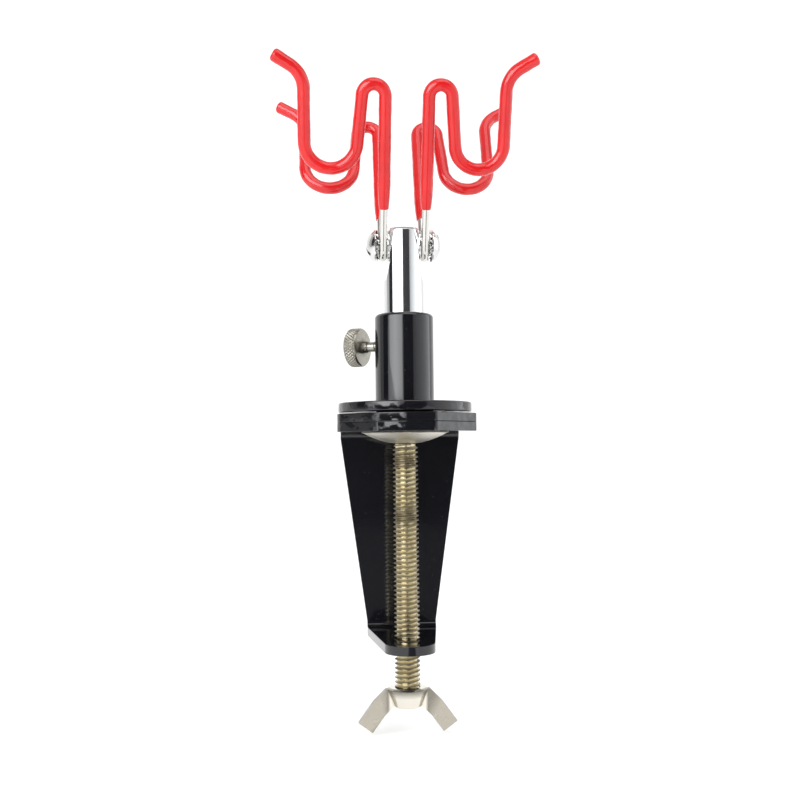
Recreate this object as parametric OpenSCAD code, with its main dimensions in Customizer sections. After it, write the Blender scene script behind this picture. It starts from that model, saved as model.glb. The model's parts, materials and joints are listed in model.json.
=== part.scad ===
// Clamp-on airbrush holder: a C-clamp bracket, a swivelling collar with a
// sliding post, and two coated wire hangers that tilt on the post's head.
// Millimetres. +Z is up, -Y is the front, +X is the holder's right as seen
// from the front. The origin is on the clamp screw's axis, at the jaw face.

/* [Clamp bracket] */
// Thickness of the bent strip and of the base plate
sheet_t = 2.8; // [2:0.1:4]
// Clear height between the jaw and the foot
throat_h = 64; // [45:0.5:90]
// Width of the jaw plate at its widest
jaw_w = 43.2; // [38:0.2:60]
// Width of the jaw plate where it meets the web
jaw_root_w = 39.6; // [30:0.2:50]
// Width of the straight front edge of the jaw plate
jaw_nose_w = 15; // [8:0.5:24]
// Clamp screw axis to the front edge of the jaw plate
jaw_reach = 22.5; // [18:0.5:35]
// Clamp screw axis to the jaw plate's widest point, measured forwards
jaw_corner_y = 8; // [2:0.5:12]
// Clamp screw axis to the inner face of the web
web_gap = 22; // [19:0.5:40]
// Width of the web where it meets the foot
foot_w = 22.8; // [16:0.2:30]
// Radius of the foot's round nose
foot_nose_r = 7.8; // [7:0.1:12]
// Clamp screw axis to the front of the foot
foot_reach = 17.8; // [12:0.2:25]
// Inside radius of the two bends
bend_r = 1.8; // [1:0.1:4]
// Depth of the round seat that takes the dish's rim when the clamp is closed
seat_depth = 0.25; // [0.1:0.05:0.5]
// Clearance around the dish's rim in that seat
seat_gap = 0.5; // [0.3:0.1:1]

/* [Clamp screw] */
// Outside diameter of the clamp screw's thread
screw_d = 7.94; // [6:0.01:10]
// Length of screw below the foot when the clamp is closed
screw_tail = 18.6; // [12:0.2:40]
// Outside diameter of the pressure dish
dish_d = 27.3; // [20:0.1:32]
// Height of the pressure dish
dish_h = 3.9; // [3:0.1:6]
// Wall of the pressure dish
dish_t = 1.2; // [0.8:0.1:1.6]
// Diameter of the screw's neck in the dish
neck_d = 5; // [4:0.1:6]
// Overhang of the screw's riveted end past its neck
rivet_lip = 1.3; // [0.8:0.1:1.6]
// Height of the screw's riveted end
rivet_h = 1.2; // [0.8:0.1:1.4]
// Width of flat floor in the dish around the riveted end
floor_margin = 0.8; // [0.4:0.1:1.2]

/* [Wing nut] */
// Diameter of the hub at its top
hub_d = 12.8; // [11:0.1:16]
// Diameter of the hub at its bottom
hub_foot_d = 9.4; // [9:0.1:12]
// Height of the hub
hub_h = 6.2; // [4:0.1:9]
// Tip-to-tip span of the wings
wing_span = 30.8; // [26:0.2:40]
// Drop from the hub's top to the wing tips
wing_drop = 13.9; // [11:0.1:18]
// Width of a wing's blade
wing_w = 5.4; // [4:0.1:7]
// Thickness of a wing
wing_t = 2.2; // [1.4:0.1:3]
// Slope of the wings below the horizontal, in degrees
wing_slope = 54; // [45:1:65]

/* [Swivel base] */
// Diameter of the swivel disc
disc_d = 42; // [34:0.5:50]
// Thickness of the swivel disc
disc_t = 3.1; // [2:0.1:5]
// Diameter of the thrust washer under the swivel disc
thrust_d = 18; // [12:0.5:24]
// Thickness of the thrust washer
thrust_t = 0.35; // [0.2:0.05:1]
// Thread diameter of the swivel bolt
bolt_d = 5; // [4:0.5:6]
// Diameter of the swivel bolt's countersunk head
bolt_head_d = 9.4; // [8:0.1:10]
// Width across the flats of the swivel nut
nut_af = 8; // [7:0.1:9]
// Height of the swivel nut
nut_h = 4; // [3:0.1:5]
// Thickness of the spring washer under the swivel nut
spring_t = 1.2; // [0.8:0.1:1.6]

/* [Collar] */
// Outside diameter of the collar
collar_d = 18.5; // [17:0.1:24]
// Height of the collar
collar_h = 27.9; // [24:0.1:40]
// Radius of the collar's rounded top edge
collar_edge_r = 1.2; // [0.3:0.1:1.5]

/* [Thumb screw] */
// Height of the thumb screw above the swivel disc
thumb_z = 18.2; // [17.5:0.1:20]
// Direction of the thumb screw, in degrees from +X
thumb_angle = 151; // [90:1:180]
// Thread diameter of the thumb screw
thumb_d = 4; // [3:0.1:5]
// Diameter of the thumb screw's neck
thumb_neck_d = 3.2; // [2.5:0.1:3.6]
// Diameter of the shoulder under the thumb screw's head
thumb_shoulder_d = 3.8; // [3.6:0.1:6]
// Clear gap between the collar and the thumb screw's head
thumb_gap = 5.25; // [4:0.05:8]
// Diameter of the thumb screw's head
thumb_head_d = 12.5; // [9:0.1:16]
// Thickness of the thumb screw's head
thumb_head_t = 4.2; // [3:0.1:6]

/* [Post] */
// Diameter of the post
post_d = 12.7; // [11:0.1:14]
// Length of the post
post_l = 44.2; // [40:0.1:60]
// Length of the flats at the head of the post
flats_l = 16.2; // [14:0.1:20]
// Width across the flats at the pivot
flats_w = 9; // [8:0.1:10]
// Width across the flats where they run out
runout_w = 11.2; // [10:0.1:12]
// Drop from the top of the post to the pivot axis
pivot_drop = 5.1; // [5:0.1:8]
// Room below the post for sliding down into the collar
post_down = 4.5; // [1:0.1:4.6]

/* [Pivot hardware] */
// Thread diameter of the pivot screws
pivot_d = 5; // [4:0.1:5]
// Diameter of the pivot screws' heads
pivot_head_d = 10.3; // [9:0.1:12]
// Height of the pivot screws' heads
pivot_head_h = 3; // [2:0.1:4]
// Outside diameter of the flat washers
washer_d = 10; // [8:0.1:11]
// Thickness of the flat washers
washer_t = 0.8; // [0.5:0.1:1.2]
// Thickness of the toothed lock washers
lock_t = 1; // [0.6:0.1:1.4]
// Number of teeth on a lock washer
lock_teeth = 12; // [8:1:14]

/* [Hangers] */
// Diameter of the bare wire
wire_d = 2.5; // [2:0.1:3]
// Wall of the coating
coat_t = 0.7; // [0.5:0.05:1.2]
// Wall of the coating at its thin lower end
coat_end_t = 0.25; // [0.2:0.05:0.5]
// Tilt of each arm from the vertical, in degrees
arm_tilt = 22; // [15:1:30]
// Length of bare wire on each arm, from the eye to the coating
bare_l = 12.3; // [10:0.1:16]
// Length along the arm from the eye to the top of the hairpin
hairpin_top = 49.6; // [44:0.1:60]
// Radius of the hairpin bend
hairpin_r = 3.5; // [3:0.1:4.5]
// Length along the arm from the eye to the bottom of the cradle
cradle_bottom = 24.6; // [20:0.1:28]
// Post axis to the inner leg of the cradles
cradle_x = 14.9; // [14:0.1:18]
// Bend radius of the left and right hangers' cradles
cradle_r = [8.05, 7.5]; // [6:0.05:10]
// Length along the arm from the eye to the start of the lip's bend
lip_start = 47.7; // [44:0.1:60]
// Radius of the lip's bend
lip_r = 8.2; // [5:0.1:12]
// Rise of the lip above the horizontal, in degrees
lip_rise = 31; // [10:1:60]
// Length of the straight part of the lip
lip_l = 6.2; // [3:0.1:12]

/* [Clearances] */
// Radial clearance of every pin and shaft that turns or slides
run_fit = 0.05; // [0.02:0.01:0.1]
// Radial clearance between fixed pieces that fit in each other
still_fit = 0.02; // [0.01:0.01:0.05]
// Radial clearance of the washers on the pivot screws
washer_fit = 0.15; // [0.05:0.05:0.3]
// Gap between flat faces that slide on each other
face_gap = 0.05; // [0.02:0.01:0.1]
// Gap between the dish's rim and its seat when the clamp is closed
rim_gap = 0.3; // [0.1:0.05:0.5]
// Gap between the thumb screw's tip and the post
tip_gap = 0.3; // [0.1:0.05:0.5]

/* [Hidden] */
$fn = 64;
eps = 0.01;
// Overlap and difference in diameter of a path's straights and bends
lap = 0.05;
swell = 0.04;
LEFT = -1;
RIGHT = 1;
FRONT = -1;
REAR = 1;

// Clamp screw and dish, from the jaw down
rim_z = seat_depth - rim_gap;
hub_top_z = -throat_h - sheet_t - screw_tail + hub_h;
dish_low_z = rim_z - dish_h;
shoulder_z = dish_low_z - run_fit;
rivet_d = neck_d + 2 * rivet_lip;

// The dish is a shell between two balls, with a flat floor inside for the rivet
dish_ball_r = (pow(dish_d / 2, 2) + pow(dish_h, 2)) / (2 * dish_h);
dish_floor_r = rivet_d / 2 + floor_margin;
dish_floor_t = dish_ball_r - sqrt(pow(dish_ball_r - dish_t, 2) - pow(dish_floor_r, 2));
rivet_z = dish_low_z + dish_floor_t + run_fit;

// Swivel stack, from the jaw up
plate_top_z = 2 * sheet_t;
disc_z = plate_top_z + thrust_t + face_gap;
disc_top_z = disc_z + disc_t;
spring_z = disc_top_z + face_gap;
nut_z = spring_z + spring_t;
bolt_end_z = nut_z + nut_h + 0.6;

// Post and pivot
post_z = bolt_end_z + tip_gap + post_down;
post_top_z = post_z + post_l;
pivot_z = post_top_z - pivot_drop;
flats_z = post_top_z - flats_l;
washer_x = flats_w / 2;
wire_x = washer_x + washer_t + face_gap + wire_d / 2;
lock_x = wire_x + wire_d / 2 + face_gap;
pivot_head_x = lock_x + lock_t;

// Thumb screw, along its own axis from the post's axis outwards
thumb_tip = post_d / 2 + tip_gap;
thumb_head_in = collar_d / 2 + thumb_gap;

// Hanger arms
eye_r = pivot_d / 2 + run_fit + wire_d / 2;
sleeve_d = wire_d + 2 * coat_t;
sleeve_end_d = wire_d + 2 * coat_end_t;
hairpin_y = hairpin_top - hairpin_r;

black_paint = [0.05, 0.05, 0.06];
nickel = [0.75, 0.72, 0.64];
chrome = [0.85, 0.86, 0.88];
coating = [0.87, 0.1, 0.1];

// A flat ring or disc, standing on z = 0
module ring(d, hole_d, h) {
    difference() {
        cylinder(d = d, h = h);
        translate([0, 0, -1]) cylinder(d = hole_d, h = h + 2);
    }
}

// Turns a shape that points along +Z to point along +X or -X
module sideways(side) {
    rotate([0, 90 * side, 0]) children();
}

// ---- Clamp bracket and base plate ----

// Plan of the jaw plate from its front edge back to y = back
module jaw_plan(back) {
    polygon([
        [-jaw_nose_w / 2, -jaw_reach],
        [jaw_nose_w / 2, -jaw_reach],
        [jaw_w / 2, -jaw_corner_y],
        [jaw_root_w / 2, back],
        [-jaw_root_w / 2, back],
        [-jaw_w / 2, -jaw_corner_y]
    ]);
}

// Plan of the foot: a tongue with a round nose
module foot_plan() {
    nose_y = foot_nose_r - foot_reach;
    back = web_gap - bend_r;
    run = back - nose_y;
    spread = atan((foot_w / 2 - foot_nose_r) / run);
    translate([0, nose_y]) circle(r = foot_nose_r);
    polygon([
        [-foot_nose_r * cos(spread), nose_y - foot_nose_r * sin(spread)],
        [foot_nose_r * cos(spread), nose_y - foot_nose_r * sin(spread)],
        [foot_w / 2, back],
        [-foot_w / 2, back]
    ]);
}

// A quarter bend of the strip, its inside towards the throat
module bend(width, up) {
    translate([-width / 2, web_gap - bend_r, 0])
        mirror([0, 0, up ? 0 : 1])
        translate([0, 0, -bend_r])
        rotate([90, 0, 90])
        rotate_extrude(angle = 90)
        translate([bend_r, 0])
        square([sheet_t, width]);
}

module clamp_bracket() {
    web_top = -bend_r;
    web_low = -throat_h + bend_r;
    color(black_paint)
    difference() {
        union() {
            linear_extrude(sheet_t) jaw_plan(web_gap - bend_r);
            bend(jaw_root_w, true);
            translate([0, web_gap + sheet_t, 0])
                rotate([90, 0, 0])
                linear_extrude(sheet_t)
                polygon([
                    [-foot_w / 2, web_low],
                    [foot_w / 2, web_low],
                    [jaw_root_w / 2, web_top],
                    [-jaw_root_w / 2, web_top]
                ]);
            translate([0, 0, -throat_h]) bend(foot_w, false);
            translate([0, 0, -throat_h - sheet_t])
                linear_extrude(sheet_t) foot_plan();
        }
        translate([0, 0, -eps])
            cylinder(d = dish_d + 2 * seat_gap, h = seat_depth + eps);
        bolt_space(still_fit);
        translate([0, 0, -throat_h - sheet_t - 1])
            cylinder(d = screw_d + 2 * run_fit, h = sheet_t + 2);
    }
}

module base_plate() {
    color(black_paint)
    translate([0, 0, sheet_t])
    difference() {
        linear_extrude(sheet_t) jaw_plan(web_gap - bend_r - 1);
        translate([0, 0, -1])
            cylinder(d = bolt_d + 2 * still_fit, h = sheet_t + 2);
    }
}

// ---- Swivel base ----

// The swivel bolt, or the hole for it when gap is more than nothing
module bolt_space(gap) {
    cone_h = (bolt_head_d - bolt_d) / 2;
    translate([0, 0, seat_depth])
        cylinder(d1 = bolt_head_d + 2 * gap, d2 = bolt_d + 2 * gap, h = cone_h);
    translate([0, 0, seat_depth + cone_h - eps])
        cylinder(d = bolt_d + 2 * gap, h = bolt_end_z - seat_depth - cone_h + eps);
}

module swivel_bolt() {
    slot_w = 1.2;
    slot_depth = 0.9;
    color(nickel)
    difference() {
        bolt_space(0);
        translate([-bolt_head_d / 2, -slot_w / 2, seat_depth - 1])
            cube([bolt_head_d, slot_w, slot_depth + 1]);
    }
}

module thrust_washer() {
    color("dimgray")
        translate([0, 0, plate_top_z])
        ring(thrust_d, bolt_d + 2 * run_fit, thrust_t);
}

module swivel_disc() {
    edge = 0.4;
    color(black_paint)
    translate([0, 0, disc_z])
    difference() {
        rotate_extrude()
            polygon([
                [0, 0],
                [disc_d / 2, 0],
                [disc_d / 2, disc_t - edge],
                [disc_d / 2 - edge, disc_t],
                [0, disc_t]
            ]);
        translate([0, 0, -1])
            cylinder(d = bolt_d + 2 * run_fit, h = disc_t + 2);
    }
}

module spring_washer() {
    split_w = 0.8;
    color("silver")
    translate([0, 0, spring_z])
    difference() {
        ring(nut_af, bolt_d + 2 * run_fit, spring_t);
        translate([0, -split_w / 2, -1])
            cube([nut_af, split_w, spring_t + 2]);
    }
}

module swivel_nut() {
    color(nickel)
    translate([0, 0, nut_z])
    difference() {
        cylinder(d = nut_af / cos(30), h = nut_h, $fn = 6);
        translate([0, 0, -1])
            cylinder(d = bolt_d + 2 * still_fit, h = nut_h + 2);
    }
}

// ---- Collar and thumb screw ----

// Places a shape along the thumb screw's axis, +Z outwards
module on_thumb_axis() {
    translate([0, 0, disc_top_z + thumb_z])
        rotate([0, 90, thumb_angle])
        children();
}

module collar() {
    bore_r = post_d / 2 + run_fit;
    color(black_paint)
    difference() {
        translate([0, 0, disc_top_z])
            rotate_extrude()
            difference() {
                union() {
                    square([collar_d / 2, collar_h - collar_edge_r]);
                    square([collar_d / 2 - collar_edge_r, collar_h]);
                    translate([collar_d / 2 - collar_edge_r, collar_h - collar_edge_r])
                        circle(r = collar_edge_r);
                }
                translate([0, -1]) square([bore_r, collar_h + 2]);
            }
        on_thumb_axis()
            cylinder(d = thumb_d + 2 * run_fit, h = collar_d);
    }
}

module thumb_screw() {
    thread_end = collar_d / 2 + 0.6;
    shoulder_l = 2;
    edge = 0.35;
    head_r = thumb_head_d / 2;
    color(nickel)
    on_thumb_axis() {
        rotate_extrude()
            polygon([
                [0, thumb_tip],
                [thumb_d / 2 - edge, thumb_tip],
                [thumb_d / 2, thumb_tip + edge],
                [thumb_d / 2, thread_end],
                [thumb_neck_d / 2, thread_end + 0.4],
                [thumb_neck_d / 2, thumb_head_in - shoulder_l],
                [thumb_shoulder_d / 2, thumb_head_in - shoulder_l],
                [thumb_shoulder_d / 2, thumb_head_in],
                [head_r - edge, thumb_head_in],
                [head_r, thumb_head_in + edge],
                [head_r, thumb_head_in + thumb_head_t - edge],
                [head_r - edge, thumb_head_in + thumb_head_t],
                [0, thumb_head_in + thumb_head_t]
            ]);
    }
}

// ---- Post and pivot hardware ----

// What is cut from one side of the post's head: a flat that runs out below
module flat_cut(side) {
    below_washer = 0.3;
    runout_l = flats_l - pivot_drop - washer_d / 2 - below_washer;
    mirror([side == LEFT ? 1 : 0, 0, 0])
        translate([0, post_d / 2 + 1, 0])
        rotate([90, 0, 0])
        linear_extrude(post_d + 2)
        polygon([
            [runout_w / 2, flats_z],
            [post_d, flats_z],
            [post_d, post_top_z + 1],
            [flats_w / 2, post_top_z + 1],
            [flats_w / 2, flats_z + runout_l]
        ]);
}

module post() {
    edge = 0.8;
    color(chrome)
    difference() {
        translate([0, 0, post_z])
            rotate_extrude()
            polygon([
                [0, 0],
                [post_d / 2 - edge, 0],
                [post_d / 2, edge],
                [post_d / 2, post_l - edge],
                [post_d / 2 - edge, post_l],
                [0, post_l]
            ]);
        for (side = [LEFT, RIGHT]) flat_cut(side);
        translate([-post_d / 2, 0, pivot_z])
            sideways(RIGHT)
            cylinder(d = pivot_d + 2 * still_fit, h = post_d);
    }
}

// Places a shape on the pivot axis, x outwards from the post's axis
module on_pivot(side, x) {
    translate([side * x, 0, pivot_z]) sideways(side) children();
}

module flat_washer(side) {
    color(chrome)
        on_pivot(side, washer_x)
        ring(washer_d, pivot_d + 2 * washer_fit, washer_t);
}

// A washer with notches between its outward teeth
module lock_washer(side) {
    notch_d = 0.9;
    color(chrome)
        on_pivot(side, lock_x)
        difference() {
            ring(washer_d, pivot_d + 2 * washer_fit, lock_t);
            for (i = [0 : lock_teeth - 1])
                rotate(i * 360 / lock_teeth)
                translate([washer_d / 2, 0, -1])
                cylinder(d = notch_d * 2, h = lock_t + 2, $fn = 4);
        }
}

module pivot_screw(side) {
    tip_x = 1;
    slot_w = 1.1;
    slot_depth = 1.3;
    dome_r = (pow(pivot_head_d / 2, 2) + pow(pivot_head_h, 2)) / (2 * pivot_head_h);
    color(chrome)
    difference() {
        union() {
            on_pivot(side, tip_x)
                cylinder(d = pivot_d, h = pivot_head_x - tip_x);
            on_pivot(side, pivot_head_x)
                rotate_extrude($fn = 96)
                intersection() {
                    translate([0, pivot_head_h - dome_r]) circle(r = dome_r);
                    square([pivot_head_d, pivot_head_h]);
                }
        }
        on_pivot(side, pivot_head_x + pivot_head_h - slot_depth)
            rotate(35)
            translate([-pivot_head_d, -slot_w / 2, 0])
            cube([2 * pivot_head_d, slot_w, slot_depth + 1]);
    }
}

// ---- Hangers ----

// Runs a profile along a bent path. Each step is [straight length, bend
// radius, bend angle], starting along +Z; a positive angle bends towards +X
// and a negative one towards -X. The first child is the straight profile and
// the second the bends' profile, a hair larger so that the two join cleanly.
module along(path, i = 0) {
    if (i < len(path)) {
        length = path[i][0];
        radius = path[i][1];
        angle = abs(path[i][2]);
        turn = path[i][2] < 0 ? 180 : 0;
        translate([0, 0, -lap])
            linear_extrude(length + 2 * lap)
            children(0);
        if (angle > 0)
            translate([0, 0, length])
            rotate([0, 0, turn]) {
                translate([radius, 0, 0])
                    rotate([90, 0, 180])
                    rotate_extrude(angle = angle)
                    translate([radius, 0])
                    children(1);
                translate([radius, 0, 0])
                    rotate([0, angle, 0])
                    translate([-radius, 0, 0])
                    rotate([0, 0, -turn])
                    along(path, i + 1) {
                        children(0);
                        children(1);
                    }
            }
    }
}

// The bends of one arm, from a given length up its first leg
function arm_path(side, from, last) =
    let (
        r = cradle_r[side == LEFT ? 0 : 1],
        over = cradle_x + r - wire_x - hairpin_r,
        drop = hairpin_y - cradle_bottom - r,
        span = norm([over, drop]),
        lean = atan2(over, drop) - asin((hairpin_r + r) / span),
        slant = sqrt(span * span - pow(hairpin_r + r, 2))
    )
    [
        [hairpin_y - from, hairpin_r, 180 - lean],
        [slant, r, lean - 180],
        [lip_start - cradle_bottom - r, lip_r, 90 - lip_rise],
        [last, 0, 0]
    ];

// Places an arm: +Z up its first leg from the eye, +X outwards from the post
module on_arm(side, end) {
    translate([side * wire_x, 0, pivot_z])
        rotate([-end * arm_tilt, 0, 0])
        translate([0, end * eye_r, 0])
        mirror([side == LEFT ? 1 : 0, 0, 0])
        children();
}

// The eye: the bend under the pivot screw that joins the two arms
module eye(side) {
    translate([side * wire_x, 0, pivot_z])
        rotate([90, 0, 90])
        rotate([0, 0, 180 + arm_tilt])
        rotate_extrude(angle = 180 - 2 * arm_tilt)
        translate([eye_r, 0])
        circle(d = wire_d + swell);
}

module hanger_wire(side) {
    tip_cover = 1.3;
    color(chrome) {
        eye(side);
        for (end = [FRONT, REAR])
            on_arm(side, end)
            along(arm_path(side, 0, lip_l - tip_cover)) {
                circle(d = wire_d);
                circle(d = wire_d + swell);
            }
    }
}

// A ring-shaped profile
module tube_profile(d, bore_d) {
    difference() {
        circle(d = d);
        circle(d = bore_d);
    }
}

// The coating of one arm, thin at its lower end and closed at the lip's tip
module sleeve(side, end) {
    thin_l = 7;
    bore_d = wire_d + 2 * (swell + still_fit);
    end_bore_d = bore_d + 0.06;
    cap_l = 1.3;
    cap_r = 0.9;
    cap_d = sleeve_d + 0.24;
    color(coating)
    on_arm(side, end) {
        translate([0, 0, bare_l])
            difference() {
                cylinder(d1 = sleeve_end_d, d2 = sleeve_d, h = thin_l);
                translate([0, 0, -1])
                    cylinder(d = end_bore_d, h = thin_l + 2);
            }
        translate([0, 0, bare_l + thin_l])
            along(arm_path(side, bare_l + thin_l, lip_l - cap_l)) {
                tube_profile(sleeve_d, bore_d);
                tube_profile(sleeve_d + swell, bore_d - swell);
            }
        at_lip(side, lip_l - cap_l)
            rotate_extrude()
            intersection() {
                union() {
                    square([cap_d / 2, cap_l - cap_r]);
                    square([cap_d / 2 - cap_r, cap_l]);
                    translate([cap_d / 2 - cap_r, cap_l - cap_r])
                        circle(r = cap_r);
                }
                square([cap_d, cap_l]);
            }
    }
}

// Places a shape on the lip's straight part, at a length from its bend
module at_lip(side, length) {
    r = cradle_r[side == LEFT ? 0 : 1];
    translate([cradle_x + 2 * r - wire_x + lip_r, 0, lip_start])
        rotate([0, 90 - lip_rise, 0])
        translate([-lip_r, 0, length])
        children();
}

// ---- Clamp screw, wing nut and dish ----

module clamp_screw() {
    edge = 0.8;
    rivet_edge = 0.4;
    tail_z = -throat_h - sheet_t - screw_tail;
    color(nickel)
    rotate_extrude()
        polygon([
            [0, tail_z],
            [screw_d / 2 - edge, tail_z],
            [screw_d / 2, tail_z + edge],
            [screw_d / 2, shoulder_z - edge],
            [screw_d / 2 - edge, shoulder_z],
            [neck_d / 2, shoulder_z],
            [neck_d / 2, rivet_z],
            [rivet_d / 2, rivet_z],
            [rivet_d / 2, rivet_z + rivet_h - rivet_edge],
            [rivet_d / 2 - rivet_edge, rivet_z + rivet_h],
            [0, rivet_z + rivet_h]
        ]);
}

module wing_nut() {
    along_wing = [-cos(wing_slope), sin(wing_slope)];
    tip_out = [wing_span / 2, wing_w * cos(wing_slope) - wing_drop];
    tip_in = [wing_span / 2 - wing_w * sin(wing_slope), -wing_drop];
    edge = 0.6;
    color(nickel)
    translate([0, 0, hub_top_z])
    difference() {
        union() {
            rotate_extrude()
                polygon([
                    [0, 0],
                    [hub_d / 2 - edge, 0],
                    [hub_d / 2, -edge],
                    [hub_foot_d / 2, -hub_h + edge],
                    [hub_foot_d / 2 - edge, -hub_h],
                    [0, -hub_h]
                ]);
            for (side = [LEFT, RIGHT])
                mirror([side == LEFT ? 1 : 0, 0, 0])
                translate([0, wing_t / 2, 0])
                rotate([90, 0, 0])
                linear_extrude(wing_t)
                polygon([
                    [screw_d / 2, -edge],
                    [hub_d / 2 + 0.6, -edge],
                    tip_out + (wing_drop - hub_h) * along_wing,
                    tip_out,
                    tip_in,
                    tip_in + (wing_drop - hub_h - 1.4) * along_wing,
                    [screw_d / 2, -hub_h + edge]
                ]);
        }
        translate([0, 0, -hub_h - 1])
            cylinder(d = screw_d + 2 * still_fit, h = hub_h + 2);
    }
}

module pressure_dish() {
    color(nickel)
    difference() {
        translate([0, 0, dish_low_z])
            rotate_extrude($fn = 96)
            union() {
                intersection() {
                    difference() {
                        translate([0, dish_ball_r]) circle(r = dish_ball_r);
                        translate([0, dish_ball_r]) circle(r = dish_ball_r - dish_t);
                    }
                    square([dish_d / 2, dish_h]);
                }
                intersection() {
                    translate([0, dish_ball_r]) circle(r = dish_ball_r);
                    square([dish_floor_r, dish_floor_t]);
                }
            }
        translate([0, 0, dish_low_z - 1])
            cylinder(d = neck_d + 2 * run_fit, h = dish_h + 2);
    }
}

clamp_bracket();
base_plate();
swivel_bolt();
thrust_washer();
swivel_disc();
collar();
spring_washer();
swivel_nut();
thumb_screw();
post();
flat_washer(LEFT);  // left_flat_washer
flat_washer(RIGHT);  // right_flat_washer
lock_washer(LEFT);  // left_lock_washer
lock_washer(RIGHT);  // right_lock_washer
pivot_screw(LEFT);  // left_pivot_screw
pivot_screw(RIGHT);  // right_pivot_screw
hanger_wire(LEFT);  // left_hanger_wire
hanger_wire(RIGHT);  // right_hanger_wire
sleeve(LEFT, FRONT);  // left_front_sleeve
sleeve(LEFT, REAR);  // left_rear_sleeve
sleeve(RIGHT, FRONT);  // right_front_sleeve
sleeve(RIGHT, REAR);  // right_rear_sleeve
clamp_screw();
wing_nut();
pressure_dish();
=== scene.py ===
"""Looks of the clamp-on airbrush holder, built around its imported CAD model.

Lengths called *_mm or held in the size tables are millimetres; MM turns them into metres.
"""
import json
import math

import bmesh
import bpy
from mathutils import Matrix, Vector

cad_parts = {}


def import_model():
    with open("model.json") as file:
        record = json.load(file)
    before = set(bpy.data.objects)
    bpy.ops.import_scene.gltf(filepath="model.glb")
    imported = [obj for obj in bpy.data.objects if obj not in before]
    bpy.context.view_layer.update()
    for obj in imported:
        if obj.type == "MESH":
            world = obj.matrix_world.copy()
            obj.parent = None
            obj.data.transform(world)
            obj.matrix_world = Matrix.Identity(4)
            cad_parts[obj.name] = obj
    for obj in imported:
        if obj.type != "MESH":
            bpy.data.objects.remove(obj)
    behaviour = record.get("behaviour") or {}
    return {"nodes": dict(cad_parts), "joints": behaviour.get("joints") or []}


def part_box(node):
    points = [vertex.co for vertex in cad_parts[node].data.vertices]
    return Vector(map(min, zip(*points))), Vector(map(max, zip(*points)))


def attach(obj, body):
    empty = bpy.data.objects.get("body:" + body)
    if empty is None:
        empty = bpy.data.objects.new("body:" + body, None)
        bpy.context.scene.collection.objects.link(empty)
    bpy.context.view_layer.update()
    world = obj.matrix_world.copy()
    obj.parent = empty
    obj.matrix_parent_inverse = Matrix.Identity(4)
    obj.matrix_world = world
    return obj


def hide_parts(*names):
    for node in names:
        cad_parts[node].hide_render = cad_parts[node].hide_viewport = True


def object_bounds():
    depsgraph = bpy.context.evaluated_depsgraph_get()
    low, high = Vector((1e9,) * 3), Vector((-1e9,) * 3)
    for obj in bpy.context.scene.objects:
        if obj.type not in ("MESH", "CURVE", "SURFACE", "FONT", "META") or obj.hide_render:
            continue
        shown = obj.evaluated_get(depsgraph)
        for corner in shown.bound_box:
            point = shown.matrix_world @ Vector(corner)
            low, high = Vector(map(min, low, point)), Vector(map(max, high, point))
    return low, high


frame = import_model()
cad_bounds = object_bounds()

MM = 0.001
LEFT, RIGHT = -1, 1
FRONT, REAR = -1, 1
SIDE_NAMES = {LEFT: "left", RIGHT: "right"}
END_NAMES = {FRONT: "front", REAR: "rear"}

# ---------------------------------------------------------------- sizes

# Hangers, as in the CAD model
WIRE_R = 1.25
COAT_R = 1.95
COAT_END_R = 1.5
ARM_TILT = math.radians(22)
BARE_L = 12.3
HAIRPIN_TOP = 49.6
HAIRPIN_R = 3.5
CRADLE_BOTTOM = 24.6
CRADLE_X = 14.9
CRADLE_R = {LEFT: 8.05, RIGHT: 7.5}
LIP_START = 47.7
LIP_R = 8.2
LIP_RISE = math.radians(31)
LIP_L = 6.2
EYE_R = 3.8

# Threads: pitch and depth
CLAMP_PITCH = 1.411
CLAMP_DEPTH = 0.8
THUMB_PITCH = 0.7
THUMB_DEPTH = 0.4


def joint(name):
    """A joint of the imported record."""
    return next(j for j in frame["joints"] if j["name"] == name)


def span(node):
    """A node's lowest and highest corner, in millimetres."""
    low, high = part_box(node)
    return low / MM, high / MM


# ---------------------------------------------------------------- meshes


def mesh_piece(name, verts, faces, place=Matrix.Identity(4), sharp=32):
    """A new object from vertices in millimetres, placed in the row frame."""
    mesh = bpy.data.meshes.new(name)
    mesh.from_pydata([tuple(v) for v in verts], [], faces)
    mesh.transform(Matrix.Scale(MM, 4) @ place)
    piece = bpy.data.objects.new(name, mesh)
    bpy.context.scene.collection.objects.link(piece)
    tidy(piece, sharp)
    return piece


def tidy(piece, sharp):
    """Faces point outwards, and edges over an angle in degrees stay sharp."""
    work = bmesh.new()
    work.from_mesh(piece.data)
    bmesh.ops.remove_doubles(work, verts=work.verts, dist=1e-7)
    bmesh.ops.recalc_face_normals(work, faces=work.faces)
    for face in work.faces:
        face.smooth = True
    work.to_mesh(piece.data)
    work.free()
    piece.data.set_sharp_from_angle(angle=math.radians(sharp))


def applied(piece):
    """Makes a piece's modifiers part of its mesh."""
    graph = bpy.context.evaluated_depsgraph_get()
    mesh = bpy.data.meshes.new_from_object(piece.evaluated_get(graph))
    piece.modifiers.clear()
    piece.data = mesh
    return piece


def cut(piece, *cutters):
    """Cuts other objects out of a piece and removes them."""
    for cutter in cutters:
        change = piece.modifiers.new("cut", "BOOLEAN")
        change.operation = "DIFFERENCE"
        change.solver = "EXACT"
        change.object = cutter
    applied(piece)
    for cutter in cutters:
        bpy.data.objects.remove(cutter)
    return piece


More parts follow.
